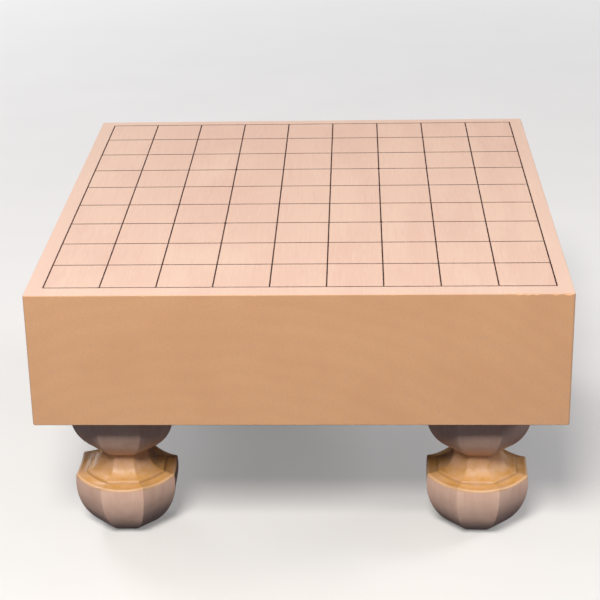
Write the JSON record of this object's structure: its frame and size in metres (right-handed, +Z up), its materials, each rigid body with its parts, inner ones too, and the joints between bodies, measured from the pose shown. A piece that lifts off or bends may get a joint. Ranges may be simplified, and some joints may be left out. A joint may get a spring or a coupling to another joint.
{
  "type": "shogi board",
  "caption": "Thick wooden shogi board with a lacquered grid of squares, a hollowed underside and eight-sided carved legs that plug in.",
  "frame": {"origin": "on the floor, under the middle of the block", "axes": "+Z up through the playing surface; +Y across the board from one player to the other, along the files; +X along the ranks"},
  "size_m": [0.3338, 0.3668, 0.1832],
  "materials": {
    "block_wood": "planed and waxed, satin",
    "line_lacquer": "raised dark lacquer lines",
    "leg_wood": "carved and burnished, satin"
  },
  "bodies": {
    "board": {"board_slab": "block_wood", "lacquer_grid": "line_lacquer"},
    "front_left_leg": {"leg_front_left": "leg_wood"},
    "front_right_leg": {"leg_front_right": "leg_wood"},
    "rear_left_leg": {"leg_rear_left": "leg_wood"},
    "rear_right_leg": {"leg_rear_right": "leg_wood"}
  },
  "joints": [
    {"name": "front_left_pull", "type": "slide", "parent": "board", "child": "front_left_leg", "axis": [0, 0, -1], "range_m": [0, 0.04]},
    {"name": "front_right_pull", "type": "slide", "parent": "board", "child": "front_right_leg", "axis": [0, 0, -1], "range_m": [0, 0.04]},
    {"name": "rear_left_pull", "type": "slide", "parent": "board", "child": "rear_left_leg", "axis": [0, 0, -1], "range_m": [0, 0.04]},
    {"name": "rear_right_pull", "type": "slide", "parent": "board", "child": "rear_right_leg", "axis": [0, 0, -1], "range_m": [0, 0.04]}
  ]
}
